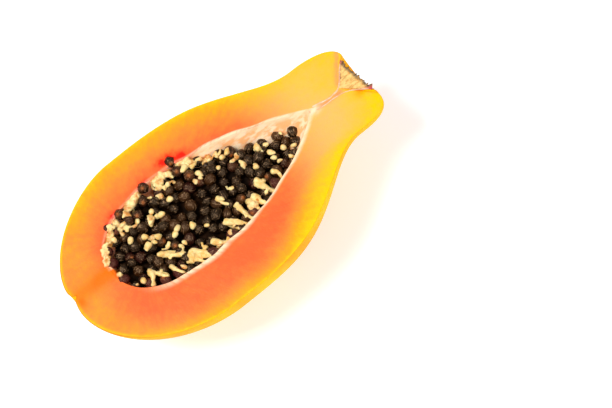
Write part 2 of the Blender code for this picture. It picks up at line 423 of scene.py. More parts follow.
def copies_of(shape, scales, turns, places):
    """(points, quads, triangles) of many copies: each one's own points, scaled, turned and moved."""
    points, quads, triangles = shape
    moved = np.einsum("nij,nvj->nvi", turns, points * scales[:, None, :]) + places[:, None, :]
    return repeated(moved, quads, triangles)


# ---- materials ----------------------------------------------------------------------------------


NOISE_ROUGHNESS = 0.55  # how much of each finer layer of a random field is added


class Paint:
    """A material under construction: short ways to add and join its nodes."""

    def __init__(self, name, roughness, specular, coat=0.0, coat_roughness=0.1):
        self.material = bpy.data.materials.new(name)
        self.material.use_nodes = True
        self.tree = self.material.node_tree
        self.shader = self.tree.nodes["Principled BSDF"]
        self.set("Roughness", roughness)
        self.set("Coat Weight", coat)
        self.set("Coat Roughness", coat_roughness)
        self.set("Specular IOR Level", specular)

    def set(self, socket, value):
        """A constant on one of the shader's sockets."""
        self.shader.inputs[socket].default_value = value

    def feed(self, socket, source):
        """A link into a socket, or into the shader's socket of that name."""
        self.tree.links.new(source, socket if not isinstance(socket, str) else self.shader.inputs[socket])

    def node(self, kind, **settings):
        """A new node with these settings."""
        made = self.tree.nodes.new(kind)
        for key, value in settings.items():
            setattr(made, key, value)
        return made

    def soft(self, weight, scale, radius=(1.0, 0.32, 0.12)):
        """Light that goes in and comes out again nearby."""
        self.set("Subsurface Weight", weight)
        self.set("Subsurface Scale", scale)
        self.set("Subsurface Radius", radius)

    def value(self, name):
        """A number that the mesh keeps at its points."""
        return self.node("ShaderNodeAttribute", attribute_name=name).outputs["Fac"]

    def place(self, name=None, stretch=(1, 1, 1)):
        """Object coordinates, or a piece's own vector attribute, stretched."""
        if name:
            source = self.node("ShaderNodeAttribute", attribute_name=name).outputs["Vector"]
        else:
            source = self.node("ShaderNodeTexCoord").outputs["Object"]
        mapping = self.node("ShaderNodeMapping")
        mapping.inputs["Scale"].default_value = stretch
        self.feed(mapping.inputs["Vector"], source)
        return mapping.outputs["Vector"]

    def noise(self, place, scale, detail):
        """A random field of 0 to 1 whose lumps are about one over the scale wide."""
        made = self.node("ShaderNodeTexNoise")
        made.inputs["Scale"].default_value = scale
        made.inputs["Detail"].default_value = detail
        made.inputs["Roughness"].default_value = NOISE_ROUGHNESS
        self.feed(made.inputs["Vector"], place)
        return made.outputs["Fac"]

    def maths(self, operation, *terms, clamp=False):
        """One step of arithmetic on numbers or sockets."""
        made = self.node("ShaderNodeMath", operation=operation, use_clamp=clamp)
        for socket, term in zip(made.inputs, terms):
            if isinstance(term, (int, float)):
                socket.default_value = term
            else:
                self.feed(socket, term)
        return made.outputs["Value"]

    def span(self, value, low, high, to_low=0.0, to_high=1.0):
        """A smooth step of the value between low and high."""
        made = self.node("ShaderNodeMapRange", interpolation_type="SMOOTHSTEP")
        for key, number in (("From Min", low), ("From Max", high), ("To Min", to_low), ("To Max", to_high)):
            made.inputs[key].default_value = number
        self.feed(made.inputs["Value"], value)
        return made.outputs["Result"]

    def ramp(self, value, *stops):
        """Colours between (position, colour) stops."""
        made = self.node("ShaderNodeValToRGB")
        elements = made.color_ramp.elements
        while len(elements) < len(stops):
            elements.new(0.5)
        for element, (position, colour) in zip(elements, stops):
            element.position = position
            element.color = (*colour, 1)
        self.feed(made.inputs["Fac"], value)
        return made.outputs["Color"]

    def mix(self, share, first, second):
        """Two colours by a share of 0 to 1."""
        made = self.node("ShaderNodeMix", data_type="RGBA")
        for socket, source in ((made.inputs[0], share), (made.inputs[6], first), (made.inputs[7], second)):
            if isinstance(source, (int, float)):
                socket.default_value = source
            elif isinstance(source, bpy.types.NodeSocket):
                self.feed(socket, source)
            else:
                socket.default_value = (*source, 1)
        return made.outputs[2]

    def bump(self, height, distance, strength, under=None):
        """A relief of this height in metres, over another one where that is given."""
        made = self.node("ShaderNodeBump")
        made.inputs["Strength"].default_value = strength
        made.inputs["Distance"].default_value = distance
        self.feed(made.inputs["Height"], height)
        if under is not None:
            self.feed(made.inputs["Normal"], under)
        return made.outputs["Normal"]


FLESH_ROUGHNESS, SKIN_ROUGHNESS = 0.38, 0.65


def flesh_paint(colours):
    """Flesh from gold at the skin to coral at the cavity, streaked along the rays, and the waxy skin."""
    paint = Paint("papaya_flesh", roughness=FLESH_ROUGHNESS, specular=0.09)
    paint.soft(0.12, 0.0025)
    rays = paint.noise(paint.place("ray"), 300, detail=3)
    clouds = paint.noise(paint.place(), 75, detail=3)
    mottle = paint.noise(paint.place(), 300, detail=2)
    grain = paint.noise(paint.place(), 900, detail=2)
    stir = paint.maths("ADD", paint.maths("MULTIPLY", rays, 0.22), paint.maths("MULTIPLY", clouds, 0.26))
    stir = paint.maths("ADD", stir, paint.maths("MULTIPLY", mottle, 0.24))
    ripe = paint.maths("ADD", paint.value("ripeness"), paint.maths("SUBTRACT", stir, 0.36))
    belly = paint.ramp(
        ripe,
        (0.0, colours.gold),
        (0.30, colours.amber),
        (0.60, colours.apricot),
        (0.86, colours.coral),
        (1.0, colours.deep_coral),
    )
    neck = paint.ramp(ripe, (0.0, colours.gold), (0.16, colours.pale_gold), (0.74, colours.pale_apricot))
    colour = paint.mix(paint.value("neck"), belly, neck)
    colour = paint.mix(paint.value("streak"), colour, colours.streak)
    blushed = paint.maths("MULTIPLY", paint.value("blushed"), paint.span(mottle, 0.2, 0.6, 0.6, 1.0))
    colour = paint.mix(blushed, colour, colours.blushed)
    stain = paint.maths("MULTIPLY", paint.value("stain"), paint.span(mottle, 0.3, 0.6, 0.7, 1.5), clamp=True)
    colour = paint.mix(stain, colour, colours.stain)
    fibrous = paint.noise(paint.place(stretch=(0.3, 1, 1)), 330, detail=4)
    # Partly painted shade: below the lining at the wall's top the wall's deeper colour shows in the hollow
    wall = paint.mix(paint.span(fibrous, 0.42, 0.60), colours.wall, colours.lining)
    colour = paint.mix(paint.value("wall"), colour, wall)
    lining = paint.maths("MULTIPLY", paint.value("lining"), paint.span(rays, 0.3, 0.6, 0.5, 1.0), clamp=True)
    colour = paint.mix(lining, colour, colours.lining)
    blotches = paint.noise(paint.place(), 26, detail=4)
    skin = paint.mix(paint.span(blotches, 0.4, 0.68), colours.skin, colours.skin_deep)
    flecks = paint.span(paint.noise(paint.place(), 900, detail=1), 0.66, 0.74, 0.0, 0.35)
    skin = paint.mix(flecks, skin, colours.fleck_and_rim_shade)
    colour = paint.mix(paint.value("skin"), colour, skin)
    # Painted shade: the fleck colour on the blossom end's outer lip, partly the skin's edge and partly its
    # shade
    paint.feed("Base Color", paint.mix(paint.value("shaded_peel"), colour, colours.fleck_and_rim_shade))
    paint.feed("Roughness", paint.span(paint.value("skin"), 0.0, 1.0, FLESH_ROUGHNESS, SKIN_ROUGHNESS))
    fine = paint.bump(grain, 0.00025, 0.5)
    paint.feed("Normal", paint.bump(rays, 0.0003, 0.35, under=fine))
    return paint.material


def seed_paint(colours):
    """Wet brown-black seed skin, wrinkled lengthwise, some lighter, some wine red, with the joint's dot."""
    paint = Paint("papaya_seed", roughness=0.2, specular=0.6)
    paint.set("Specular Tint", (1.0, 0.66, 0.40, 1.0))
    own = paint.place("own", stretch=(1, 1, 0.34))
    wrinkle = paint.noise(own, 3.0, detail=3)
    tone = paint.value("tone")
    colour = paint.mix(paint.span(tone, 0.6, 1.0, 0.0, 0.6), colours.seed, colours.seed_brown)
    # Painted highlight: the wrinkles' crests take a light colour that stands in for glints on the wet skin
    colour = paint.mix(paint.span(wrinkle, 0.56, 0.66, 0.0, 0.7), colour, colours.seed_painted_highlight)
    colour = paint.mix(paint.value("wine"), colour, colours.seed_wine)
    colour = paint.mix(paint.value("dot"), colour, colours.seed_dot)
    paint.feed("Base Color", colour)
    paint.feed("Normal", paint.bump(wrinkle, 0.0009, 0.9))
    return paint.material


def core_paint(colours):
    """The dark depth of the heap."""
    paint = Paint("papaya_core", roughness=0.7, specular=0.05)
    lumps = paint.noise(paint.place(), 260, detail=2)
    brown = paint.span(lumps, 0.4, 0.8, 0.0, 0.3)
    paint.feed("Base Color", paint.mix(brown, colours.seed, colours.seed_brown))
    paint.feed("Normal", paint.bump(lumps, 0.001, 0.6))
    return paint.material


def pulp_paint(name, pale, deep):
    """Moist translucent pulp, paler in some places and deeper in others."""
    paint = Paint(name, roughness=0.36, coat=0.15, coat_roughness=0.2, specular=0.3)
    paint.soft(0.30, 0.0016, (1.0, 0.6, 0.3))
    patches = paint.noise(paint.place(), 230, detail=2)
    mottle = paint.noise(paint.place(), 700, detail=2)
    blend = paint.maths("ADD", patches, paint.maths("MULTIPLY", mottle, 0.5))
    paint.feed("Base Color", paint.mix(paint.span(blend, 0.62, 0.98), pale, deep))
    paint.feed("Normal", paint.bump(mottle, 0.0005, 0.7))
    return paint.material


def scar_paint(colours):
    """Dry tan fibres that darken to grey-brown cork at the rim, with pink juice at the corners."""
    paint = Paint("papaya_scar", roughness=0.75, specular=0.3)
    fibres = paint.noise(paint.place(stretch=(0.4, 1, 1)), 800, detail=4)
    crumbs = paint.noise(paint.place(), 900, detail=3)
    colour = paint.mix(paint.span(fibres, 0.42, 0.68), colours.scar, colours.scar_dark)
    cork = paint.maths("ADD", paint.value("cork"), paint.span(crumbs, 0.3, 0.7, -0.2, 0.2), clamp=True)
    corky = paint.mix(paint.span(crumbs, 0.45, 0.7), colours.cork, colours.scar_dark)
    colour = paint.mix(cork, colour, corky)
    paint.feed("Base Color", paint.mix(paint.value("blush"), colour, colours.blush))
    paint.feed("Normal", paint.bump(crumbs, 0.0004, 0.7, under=paint.bump(fibres, 0.0005, 0.7)))
    return paint.material


# ---- flesh and skin -----------------------------------------------------------------------------

SHARES = 256  # steps from the blossom tip to the scar, on either side
WALL_ROWS, LIP_ROWS, FACE_ROWS = 26, 4, 72  # rows of the cavity's wall, of each lip and of the cut face
SKIN_COLUMNS = 72  # columns of the skin, from rim to rim
SKIN_CROWDING = 0.75  # how much the skin's columns crowd together at the cut, below 1
MIDDLE = np.array([0.45 * LENGTH, 0.0])  # where the cavity's rays meet
SCAR_APEX, SCAR_RADIUS = 0.940, 0.066  # in lengths
SCAR_SLANT = 0.17  # how far the dry face comes forward for each step to the right
SEAT_LIP, SEAT_FLOOR, SEAT_DEPTH = 0.074, 0.052, 0.0065  # radii of the scar's seat, and its depth
BED_DEPTH = 0.0012  # how far the flesh lies under the scar's fibres, in metres
WAVE_RUN_IN = 0.004  # over this length from the cavity's edge the cut's waves rise, in metres

# Seeds on the left edge and on the pulp beside it: (x, y) in lengths, and their middle's height in metres.
CUT_SEEDS = (
    (0.442, 0.149, -0.0014), (0.338, 0.137, -0.0016), (0.240, 0.119, -0.0018), (0.442, 0.112, -0.0020),
    (0.463, 0.081, -0.0026), (0.316, 0.106, -0.0022), (0.281, 0.084, -0.0026), (0.592, 0.066, -0.0050),
)
# Seeds half sunk at the cavity's edge, most of them on the right.
EDGE_SEEDS = (
    (0.639, -0.103), (0.459, -0.142), (0.387, -0.150), (0.276, -0.131), (0.236, -0.123), (0.196, -0.104),
    (0.141, -0.045), (0.150, 0.052), (0.545, -0.127), (0.193, 0.106), (0.142, 0.016),
)
EDGE_SEED_HEIGHT = -0.0022  # of their middles, in metres
# Red stains on the cut: (x, y, radius) in lengths, and their strength.
STAINS = (
    (0.447, 0.154, 0.022, 1.0), (0.482, 0.136, 0.017, 1.0), (0.415, 0.160, 0.015, 0.8),
    (0.350, 0.143, 0.014, 0.7), (0.225, 0.124, 0.015, 0.9), (0.195, 0.112, 0.008, 0.7),
    (0.141, 0.020, 0.010, 0.4), (0.330, 0.142, 0.008, 0.8), (0.004, 0.000, 0.006, 0.9),
)


def edge_waver(share, seed):
    """Small wander of the cavity's cut edge: soft waves along it that fade out at both ends."""
    run = np.stack([share * 6, share * 0], -1)
    return 0.0009 * waves(run, 0.9, seed) * np.sin(math.pi * share) ** 0.7


def scar_seat(x, y, z):
    """x of the stem end: it slopes evenly from the seat's lip in to its floor, behind the dried scar."""
    out = np.hypot(y, z) / LENGTH
    seat = np.clip((SEAT_LIP - out) / (SEAT_LIP - SEAT_FLOOR), 0, 1) * (x > LENGTH / 2)
    face = (SCAR_FACE - SEAT_DEPTH) * LENGTH - SCAR_SLANT * y
    return x + (np.minimum(x, face) - x) * seat


def loops():
    """(x, y) of the fruit's and the cavity's closed outlines: out on the right side, back on the left."""
    share = np.linspace(0, 1, SHARES + 1)
    sides = []
    for right, left in (
        (outline(RIGHT, share), outline(LEFT, share)),
        (hollow_outline(HOLLOW_RIGHT, share), hollow_outline(HOLLOW_LEFT, share)),
    ):
        x = np.concatenate([right[0], left[0][-2:0:-1]])
        y = np.concatenate([-right[1], left[1][-2:0:-1]])
        sides.append(np.stack([x, y], -1))
    fruit, cavity = sides
    wander = np.concatenate([-edge_waver(share, 11), edge_waver(share, 12)[-2:0:-1]])
    cavity[:, 1] += wander * (np.abs(cavity[:, 1]) > 0.001)
    fruit[:, 0] = scar_seat(*fruit.T, 0.0)
    return fruit, cavity


def skin_points(share, angle):
    """Points of the skin under the cut: at each share an elliptic arc that joins the three outlines."""
    (lx, lr), (rx, rr), (ux, ur) = (outline(side, share) for side in (LEFT, RIGHT, UNDER))
    cos, sin = np.cos(angle)[None, :], np.sin(angle)[None, :]
    side_x = ((lx + rx) / 2)[:, None] + ((lx - rx) / 2)[:, None] * cos
    x = ux[:, None] + (side_x - ux[:, None]) * cos**2
    fade = np.sin(math.pi * share)[:, None] ** 2 * sin**2
    swell = 1 + RIDGE_HEIGHT * np.cos(RIDGE_COUNT * (angle[None, :] + math.pi / 2)) * fade
    y = (((lr - rr) / 2)[:, None] + ((lr + rr) / 2)[:, None] * cos) * swell
    z = ur[:, None] * sin * swell
    return np.stack([scar_seat(x, y, z), y, z], -1)


def ripeness_of(x, y, depth):
    """How coral the flesh is, as depth runs from the cavity's edge (0) to the skin (1).

    The left side fades evenly to the skin. The right side stays coral for longer, less so towards the neck.
    All of it is scaled down in the neck, and towards the blossom tip it is one even orange.
    """
    along = x / LENGTH
    scale = np.interp(along, (0.60, 0.68, 0.76, 0.84, 1.0), (1.0, 0.90, 0.70, 0.66, 0.62))
    left = np.interp(depth, (0.0, 0.15, 0.50, 0.80, 0.94, 1.0), (1.0, 0.92, 0.62, 0.36, 0.20, 0.0))
    full = np.interp(
        depth, (0.0, 0.15, 0.50, 0.65, 0.80, 0.94, 1.0), (0.86, 0.96, 0.97, 0.86, 0.64, 0.36, 0.06)
    )
    narrow = np.interp(
        depth, (0.0, 0.15, 0.35, 0.50, 0.65, 0.82, 1.0), (0.80, 0.94, 1.00, 0.90, 0.56, 0.20, 0.0)
    )
    right = full + (narrow - full) * smooth(along, 0.50, 0.66)
    tip = 0.56 * smooth(depth, 1.0, 0.90)
    side = scale * np.where(y < 0, right, left)
    return tip + (side - tip) * smooth(along, 0.03, 0.16)


def flesh_values(x, y, depth, across, on_wall, wall_down):
    """What the flesh's paint reads at each point: bells and smooth steps of the place in lengths.

    The lining and the shaded peel line also depend on the point's distance from the cavity's edge and the
    skin.
    """
    along, aside = x / LENGTH, y / LENGTH
    right = y < 0
    towards_cavity = 0.7 + 0.5 * smooth(along, 0.04, 0.10)
    streak = near(aside, -0.006, 0.025) * smooth(along, 0.17, 0.12) * towards_cavity
    streak = np.maximum(streak, near(np.hypot((along - 0.012) * 1.5, aside + 0.024), 0, 0.022))
    streak += 0.5 * near(np.hypot(along - 0.978, aside + 0.050), 0, 0.014)
    stain = sum(s * near(np.hypot(along - a, (aside - b) * 1.25), 0, r) for a, b, r, s in STAINS)
    spine = np.interp(along, (0.84, 0.87, 0.90, 0.94), (-0.003, -0.009, -0.013, -0.013))
    blushed = near(aside, spine, 0.007) * smooth(along, 0.83, 0.86) * smooth(along, 0.955, 0.935)
    beside_scar = near(aside - 1.35 * (along - SCAR_APEX), 0.008, 0.013) * smooth(along, 0.925, 0.95)
    blushed += 0.75 * beside_scar * smooth(aside, -0.002, 0.008)
    right_edge = smooth(across, 0.0046, 0.0008) * smooth(along, 0.15, 0.30)
    left_edge = smooth(across, 0.0018, 0.0004) * (0.25 + 0.75 * smooth(along, 0.44, 0.60))
    cavity_tip = near(np.hypot((along - 0.853) * 0.7, aside + 0.012), 0, 0.011) * (along > 0.8)
    edge = np.where(right, right_edge, left_edge) + 0.9 * cavity_tip
    inside = on_wall * np.where(right, smooth(along, 0.13, 0.21), 0.5 + 0.5 * smooth(along, 0.42, 0.52))
    # Painted shade: a darker line on the outer lip near the blossom end, partly the skin's own edge colour
    shaded_blossom_rim = smooth(depth, 0.972, 0.992) * near(along, 0.01, 0.12) * smooth(aside, 0.16, 0.10)
    return {
        "ripeness": ripeness_of(x, y, depth),
        "neck": smooth(along, 0.63, 0.88),
        "streak": np.clip(streak, 0, 1),
        "stain": np.clip(stain, 0, 1),
        "blushed": np.clip(blushed, 0, 1),
        "shaded_peel": 0.9 * shaded_blossom_rim,
        # On the wall the lining fades out with depth: partly the wall's own colour, partly painted shade in
        # the hollow
        "lining": np.where(on_wall, smooth(wall_down, 0.0035, 0.0005) * inside, np.clip(edge, 0, 1)),
        "wall": inside,
    }


def sheet_plan(fruit, cavity, lip):
    """(x, y) of the upper sheet's rows, on rays from the cavity's outline to the fruit's.

    They run from the cavity's middle up its wall by a sine, and evenly over the inner lip, the cut and the
    outer lip.
    """
    climb = np.sin(np.arange(1, WALL_ROWS + 1) / WALL_ROWS * math.pi / 2)[:, None, None]
    width = np.linalg.norm(fruit - cavity, axis=1)[:, None]
    ray = (fruit - cavity) / width
    over_lip = np.linspace(0, lip, LIP_ROWS + 1)[1:, None, None]
    run = np.linspace(0, 1, FACE_ROWS)[:, None, None]
    return np.concatenate([
        MIDDLE + climb * (cavity - MIDDLE),
        cavity + ray * over_lip[:-1],
        cavity + ray * (lip + run * (width - 2 * lip)),
        fruit + ray * (over_lip - lip),
    ])


def sheet_height(x, y, across, width, on_wall, sizes):
    """Heights of the upper sheet: the cavity's floor, and round it the cut's waves between two lips.

    A lip falls away as a quarter circle does. Under the scar's fibres smooth steps let the cut in.
    """
    lip = sizes.lip
    face = sizes.unevenness * waves(np.stack([x, y], -1), 0.03, 21) * np.clip(across / WAVE_RUN_IN, 0, 1)
    for from_edge in (across, width - across):
        face = face - lip * (1 - np.sqrt(1 - np.clip(1 - from_edge / lip, 0, 1) ** 2))
    face[-1] = -lip
    beyond_apex = x / LENGTH - SCAR_APEX
    bed = smooth(beyond_apex, 0, 0.02) * smooth(np.abs(y / LENGTH) - 1.1 * beyond_apex, 0.004, -0.004)
    return np.where(on_wall, cavity_floor(x, y) - lip, face) - BED_DEPTH * bed * ~on_wall


def skin_grid():
    """Points of the skin from the left rim round to the right one, without the rims and the two ends."""
    step = np.linspace(0, 1, SKIN_COLUMNS + 1)
    step = step - SKIN_CROWDING * np.sin(2 * math.pi * step) / (2 * math.pi)
    below = skin_points(np.linspace(0, 1, SHARES + 1), -math.pi * step)[1:-1, 1:-1]
    below[..., 2] = np.maximum(below[..., 2], FLESH_LOW.z - FLESH_HIGH.z)
    return below


def make_flesh(sizes, colours):
    """Flesh and skin as one closed surface.

    The upper sheet has a pole at the cavity's bottom. The skin is a second grid that shares its outer row.
    """
    fruit, cavity = loops()
    plan = sheet_plan(fruit, cavity, sizes.lip)
    x, y = plan[..., 0], plan[..., 1]
    rows, columns = x.shape
    on_wall = np.arange(rows)[:, None] < WALL_ROWS
    width = np.linalg.norm(fruit - cavity, axis=1)
    across = np.where(on_wall, 0.0, np.linalg.norm(plan - cavity, axis=-1))
    z = sheet_height(x, y, across, width, on_wall, sizes)
    values = flesh_values(x, y, across / width, across, on_wall, -z)
    values["skin"] = np.where(np.arange(rows)[:, None] >= rows - 2, 1.0, 0.0 * x)
    rays = np.stack(np.broadcast_arrays(*fruit.T, np.where(on_wall, 0.3 * z, 0.22 * across)), -1)
    pole = [*MIDDLE, cavity_floor(*MIDDLE) - sizes.lip]
    sheet = np.concatenate([[pole], np.stack([x, y, z], -1).reshape(-1, 3)])
    index = 1 + np.arange(rows * columns).reshape(rows, columns)
    quads = [quads_of(np.concatenate([index, index[:, :1]], 1))]
    triangles = [fan_of(0, index[0])]

    below = skin_grid()
    skin = len(sheet) + np.arange(below.shape[0] * below.shape[1]).reshape(below.shape[:2])
    rim = index[-1]
    skin = np.concatenate([rim[:SHARES:-1, None], skin, rim[1:SHARES, None]], 1)
    quads.append(quads_of(skin))
    for end, row in ((rim[0], skin[0]), (rim[SHARES], skin[-1][::-1])):
        triangles.append(np.stack([np.full(len(row) - 1, end), row[:-1], row[1:]], -1))

    flat = below.reshape(-1, 3)
    values = {
        key: np.concatenate([value.ravel()[:1], value.ravel(), np.full(len(flat), float(key == "skin"))])
        for key, value in values.items()
    }
    values["ray"] = np.concatenate([[[0, 0, 0]], rays.reshape(-1, 3), flat])
    body = np.concatenate([sheet, flat]), np.concatenate(quads), np.concatenate(triangles)
    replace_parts(new_piece("flesh_and_skin", body, flesh_paint(colours), "flesh", **values), "flesh")


# ---- the heap in the cavity ---------------------------------------------------------------------

CORE_RINGS = 26
CORE_IN_WALL = 0.0005  # how far the core's bottom lies inside the wall, in metres


def make_core(sizes, colours):
    """The heap's solid core: on rays from the cavity's middle, a lumpy top and a bottom just in the wall."""
    cavity = loops()[1]
    out = np.linspace(0, 1, CORE_RINGS + 1)[1:, None, None]
    plan = MIDDLE + out * (cavity - MIDDLE)
    x, y = plan[..., 0], plan[..., 1]
    lumps = 0.0007 * waves(np.stack([x, y], -1), 0.006, 31)
    top = seed_level(x, y, sizes) - sizes.core_depth + lumps
    sunk = sizes.lip + CORE_IN_WALL
    bottom = np.minimum(cavity_floor(x, y), top) - sunk
    upper = np.stack([x, y, top], -1)
    lower = np.stack([x, y, bottom], -1)[-2::-1]
    points = np.concatenate([
        [[*MIDDLE, seed_level(*MIDDLE, sizes) - sizes.core_depth]],
        upper.reshape(-1, 3),
        lower.reshape(-1, 3),
        [[*MIDDLE, cavity_floor(*MIDDLE) - sunk]],
    ])
    body = points, *ringed(len(upper) + len(lower), len(cavity))
    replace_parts(new_piece("seed_core", body, core_paint(colours), "seeds"), "seed_heap")


WALL_GIVES = 0.0038  # how far a seed or a lump sinks into the soft wall, in metres
SETTLED = 0.9  # height of a ball's middle over the ground, in radii


class Pile:
    """Balls that lie in the cavity: middles and radii, and where another one would come to rest on them."""

    def __init__(self, sizes):
        self.sizes = sizes
        self.middles = np.zeros((0, 3))
        self.radii = np.zeros(0)

    def add(self, middles, radii):
        """Put one more ball, or some, on the pile."""
        self.middles = np.concatenate([self.middles, np.atleast_2d(middles)])
        self.radii = np.append(self.radii, radii)

    def ground(self, x, y):
        """Height of the ground: the core, or the wall where it is higher."""
        core = seed_level(x, y, self.sizes) - self.sizes.core_depth
        return np.maximum(core, cavity_floor(x, y) - WALL_GIVES)

    def rest(self, x, y, radius, tight=0.84):
        """Height of a ball's middle: on the ground, or on the highest ball that it would touch.

        Two balls touch where their middles are a share, tight, of their radii's sum apart.
        """
        height = self.ground(x, y) + SETTLED * radius
        if len(self.radii):
            apart = np.hypot(x[:, None] - self.middles[:, 0], y[:, None] - self.middles[:, 1])
            reach = (self.radii + radius) * tight
            lift = self.middles[:, 2] + np.sqrt(np.maximum(reach**2 - apart**2, 0))
            height = np.maximum(height, np.where(apart < reach, lift, -1).max(1))
        return height


FLAT_START, FLAT_ROOM = 0.0008, 0.0012  # heights over the cut, in metres


def flattened(z):
    """Heights over the cut, pressed down: above a start they rise by a hyperbolic tangent to a limit."""
    above = z - FLAT_START
    return np.where(above > 0, FLAT_START + FLAT_ROOM * np.tanh(above / FLAT_ROOM), z)


def places_in_cavity(rng, count, inset):
    """Random places over the cavity, in from its edge by an inset, and a little more by the bare wall."""
    x = rng.uniform(HOLLOW_LEFT.start, 0.79, count) * LENGTH
    low = -hollow_radius(HOLLOW_RIGHT, x) + inset
    high = hollow_radius(HOLLOW_LEFT, x) - inset
    y = rng.uniform(-0.16, 0.145, count) * LENGTH
    inside = (y > low) & (y < high - 0.0016 * smooth(x / LENGTH, 0.50, 0.60))
    return x[inside], y[inside]


SEED_ROOM = 0.0011  # a seed finds no place where its top would stand higher over the level, in metres
WILD_PLACES, TRIES, MOST_SEEDS = 9000, 400, 700  # random places, those tried for a seed, and the limit


def seed_pile(sizes):
    """The ripe seeds: those at the edges listed, and the rest dropped one at a time.

    Each is tried at many random places and stays where its top comes to lie lowest against the level of the
    heap, until every place is full.
    """
    rng = np.random.default_rng(7)
    pile = Pile(sizes)
    radius = sizes.seed / 2
    for x, y, z in CUT_SEEDS:
        pile.add((x * LENGTH, y * LENGTH, z), radius)
    for x, y in EDGE_SEEDS:
        pile.add((x * LENGTH, y * LENGTH, EDGE_SEED_HEIGHT), radius * 0.97)
    wild_x, wild_y = places_in_cavity(rng, WILD_PLACES, 0.3 * radius)
    for _ in range(MOST_SEEDS):
        size = radius * rng.uniform(0.88, 1.08)
        tried = rng.integers(0, len(wild_x), TRIES)
        x, y = wild_x[tried], wild_y[tried]
        height = pile.rest(x, y, size)
        over = height + size - seed_level(x, y, sizes)
        best = over.argmin()
        if over[best] > SEED_ROOM:
            break
        pile.add((x[best], y[best], height[best]), size)
    return pile


SEED_SEGMENTS, SEED_RINGS = 12, 7
SEED_RIDGE = 0.035  # height of the ridges, in radii
SEED_SHAPE = np.array([1, 0.97, 1.1])  # a seed's half axes, in radii


def make_seeds(sizes, colours):
    """Ripe seeds: globes with a ridge from pole to pole on every other segment, and waves of two lengths."""
    rng = np.random.default_rng(17)
    pile = seed_pile(sizes)
    count = len(pile.radii)
    points, quads, triangles = globe(SEED_SEGMENTS, SEED_RINGS)
    segment = np.concatenate([[0], np.tile(np.arange(SEED_SEGMENTS), SEED_RINGS - 1), [0]])
    ridge = SEED_RIDGE * np.where(segment % 2 == 0, 1, -1) * np.hypot(points[:, 0], points[:, 1])
    ball = points * (1 + ridge)[:, None]
    own = points[None] + rng.uniform(-40, 40, (count, 1, 3))
    lumpy = ball[None] * (1 + 0.045 * waves(own, 1.9, 41) + 0.035 * waves(own, 0.9, 42))[..., None]
    scales = pile.radii[:, None] * rng.uniform(0.92, 1.02, (count, 3)) * SEED_SHAPE
    turns = turns_of(rng, count)
    lookers = rng.random(count) < 0.07
    lookers[: len(CUT_SEEDS)] = True
    facing = np.array([0.0, -0.35, 0.9]) + rng.normal(size=(count, 3)) * 0.35
    turns[lookers] = turns_to(facing[lookers], rng)
    tone = rng.random(count)
    at_edge = np.arange(count) < len(CUT_SEEDS) + len(EDGE_SEEDS)
    wine = np.where(at_edge, 0.75, 0.25 * (rng.random(count) < 0.12))
    wine[: len(CUT_SEEDS)] = 0.1
    each = len(points)
    new_piece(
        "ripe_seeds", copies_of((lumpy, quads, triangles), scales, turns, pile.middles),
        seed_paint(colours), "seeds",
        tone=np.repeat(tone, each),
        wine=np.repeat(wine, each),
        dot=np.tile(smooth(points[:, 2], 0.88, 0.99), count) * np.repeat(0.8 * lookers, each),
        own=own.reshape(-1, 3),
    )


# ---- pulp and undeveloped seeds -----------------------------------------------------------------


def grains(rng, places, radii, taper, lumps, lying, spans):
    """(points, quads, triangles) of lumpy grains: small globes, made narrower upwards by a share.

    The lumps are random waves, given as (height, length, seed). A grain's long axis has a random direction,
    flatter for a smaller share of lying, and spans holds the random ranges of its three half axes.
    """
    points, quads, triangles = globe(9, 6)
    own = points[None] + rng.uniform(-30, 30, (len(radii), 1, 3))
    height, length, seed = lumps
    grain = points * (1 - taper * points[:, 2:3] * np.array([1, 1, 0]))
    grain = grain[None] * (1 + height * waves(own, length, seed))[..., None]
    long_axis = rng.normal(size=(len(radii), 3)) * np.array([1, 1, lying])
    scales = radii[:, None] * np.stack([rng.uniform(*span, len(radii)) for span in spans], -1)
    return copies_of((grain, quads, triangles), scales, turns_to(long_axis, rng), places)


OVULE_TOP = 0.0001  # the highest that the middle of an undeveloped seed lies over the cut, in metres
# Undeveloped seeds that stand out: (x, y), in lengths.
OVULES = (
    (0.462, 0.103), (0.488, 0.100), (0.540, 0.043), (0.685, 0.019), (0.660, 0.021), (0.682, -0.020),
    (0.745, -0.040), (0.720, -0.068), (0.615, -0.072), (0.345, -0.026), (0.331, -0.035), (0.339, -0.072),
    (0.250, -0.013), (0.185, -0.089), (0.237, -0.100), (0.495, -0.041), (0.385, -0.043), (0.317, 0.063),
    (0.260, 0.014), (0.585, 0.062), (0.625, -0.030), (0.222, 0.030),
)


def make_ovules(sizes, colours):
    """Pale undeveloped seeds: listed ones, and more of them, each in the lowest of a few random gaps."""
    rng = np.random.default_rng(27)
    pile = seed_pile(sizes)
    places, radii = [], []
    for number in range(len(OVULES) + sizes.ovules):
        size = sizes.ovule / 2 * rng.uniform(0.75, 1.2)
        if number < len(OVULES):
            x, y = np.array(OVULES[number])[:, None] * LENGTH
        else:
            x, y = places_in_cavity(rng, 8, 2 * size)
        height = pile.rest(x, y, size, tight=0.9)
        best = (height - seed_level(x, y, sizes)).argmin()
        places.append((x[best], y[best], min(height[best], OVULE_TOP)))
        pile.add(places[-1], size)
        radii.append(size)
    body = grains(
        rng, np.array(places), np.array(radii), taper=0.22, lumps=(0.16, 1.5, 52), lying=0.35,
        spans=((0.85, 1.1), (0.72, 1.0), (0.95, 1.6)),
    )
    new_piece("undeveloped_seeds", body, pulp_paint("papaya_ovule", colours.ovule, colours.strand), "seeds")


STRAND_RINGS, STRAND_SEGMENTS = 11, 8
TUBE_END = 0.6  # how far a tube's ends bulge, in radii


